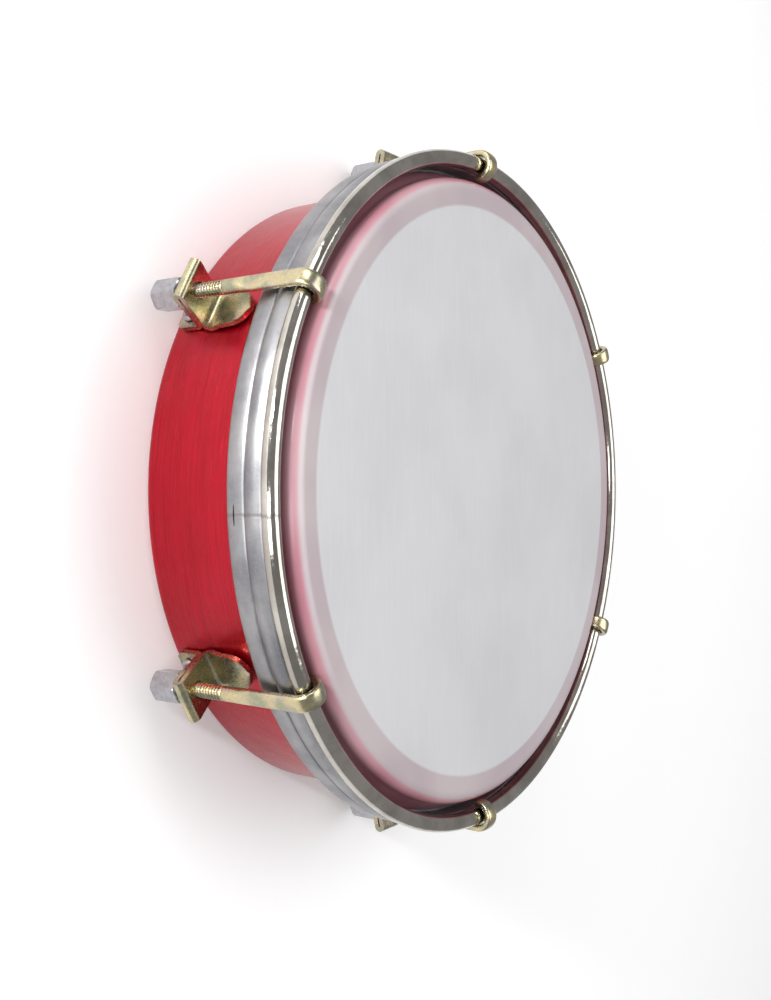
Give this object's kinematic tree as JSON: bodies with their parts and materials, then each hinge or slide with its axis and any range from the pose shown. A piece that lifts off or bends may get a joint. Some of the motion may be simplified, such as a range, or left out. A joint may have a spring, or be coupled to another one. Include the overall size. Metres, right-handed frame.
{
  "type": "tamborim",
  "caption": "Small hand-held frame drum: red sheet-metal shell, milky film head, rolled counter hoop held by flattened J-hooks, pressed brackets and long hexagon nuts.",
  "frame": {"origin": "centre of the open rear rim, on which the drum lies, at the bottom centre of the box", "axes": "+Z is the drum's axis, from the open rear rim towards the head; +X points through lug 1, and the lugs are numbered anticlockwise seen from above the head"},
  "size_m": [0.179, 0.1664, 0.0439],
  "materials": {
    "red_lacquer": "clear red lacquer over brushed metal",
    "milky_film": "milky translucent film",
    "plated_steel": "satin plated steel with a polished rolled lip",
    "yellow_zinc": "yellow zinc plating with a faint iridescence",
    "bright_zinc": "bright zinc plating"
  },
  "bodies": {
    "drum_body": {"shell": "red_lacquer", "head_film": "milky_film", "flesh_hoop": "plated_steel", "bracket_1": "yellow_zinc", "bracket_2": "yellow_zinc", "bracket_3": "yellow_zinc", "bracket_4": "yellow_zinc", "bracket_5": "yellow_zinc", "bracket_6": "yellow_zinc", "bracket_rivet_1": "bright_zinc", "bracket_rivet_2": "bright_zinc", "bracket_rivet_3": "bright_zinc", "bracket_rivet_4": "bright_zinc", "bracket_rivet_5": "bright_zinc", "bracket_rivet_6": "bright_zinc"},
    "tension_ring": {"counter_hoop": "plated_steel", "tension_hook_1": "yellow_zinc", "tension_hook_2": "yellow_zinc", "tension_hook_3": "yellow_zinc", "tension_hook_4": "yellow_zinc", "tension_hook_5": "yellow_zinc", "tension_hook_6": "yellow_zinc"},
    "nut_1": {"tension_nut_1": "bright_zinc"},
    "nut_2": {"tension_nut_2": "bright_zinc"},
    "nut_3": {"tension_nut_3": "bright_zinc"},
    "nut_4": {"tension_nut_4": "bright_zinc"},
    "nut_5": {"tension_nut_5": "bright_zinc"},
    "nut_6": {"tension_nut_6": "bright_zinc"}
  },
  "joints": [
    {"name": "nut_turn_1", "type": "hinge", "parent": "drum_body", "child": "nut_1", "pos_m": [0.0845, 0, 0.005], "axis": [0, 0, -1], "range_deg": [0, 1090]},
    {"name": "nut_turn_2", "type": "hinge", "parent": "drum_body", "child": "nut_2", "pos_m": [0.04225, 0.07318, 0.005], "axis": [0, 0, -1], "range_deg": [0, 1090]},
    {"name": "nut_turn_3", "type": "hinge", "parent": "drum_body", "child": "nut_3", "pos_m": [-0.04225, 0.07318, 0.005], "axis": [0, 0, -1], "range_deg": [0, 1090]},
    {"name": "nut_turn_4", "type": "hinge", "parent": "drum_body", "child": "nut_4", "pos_m": [-0.0845, 0, 0.005], "axis": [0, 0, -1], "range_deg": [0, 1090]},
    {"name": "nut_turn_5", "type": "hinge", "parent": "drum_body", "child": "nut_5", "pos_m": [-0.04225, -0.07318, 0.005], "axis": [0, 0, -1], "range_deg": [0, 1090]},
    {"name": "nut_turn_6", "type": "hinge", "parent": "drum_body", "child": "nut_6", "pos_m": [0.04225, -0.07318, 0.005], "axis": [0, 0, -1], "range_deg": [0, 1090]},
    {"name": "ring_slide", "type": "slide", "parent": "drum_body", "child": "tension_ring", "axis": [0, 0, 1], "range_m": [0, 0.0024]}
  ],
  "couplings": [
    {"joint": "nut_turn_1", "follows": "ring_slide", "rad_per_m": 7854},
    {"joint": "nut_turn_2", "follows": "ring_slide", "rad_per_m": 7854},
    {"joint": "nut_turn_3", "follows": "ring_slide", "rad_per_m": 7854},
    {"joint": "nut_turn_4", "follows": "ring_slide", "rad_per_m": 7854},
    {"joint": "nut_turn_5", "follows": "ring_slide", "rad_per_m": 7854},
    {"joint": "nut_turn_6", "follows": "ring_slide", "rad_per_m": 7854}
  ]
}
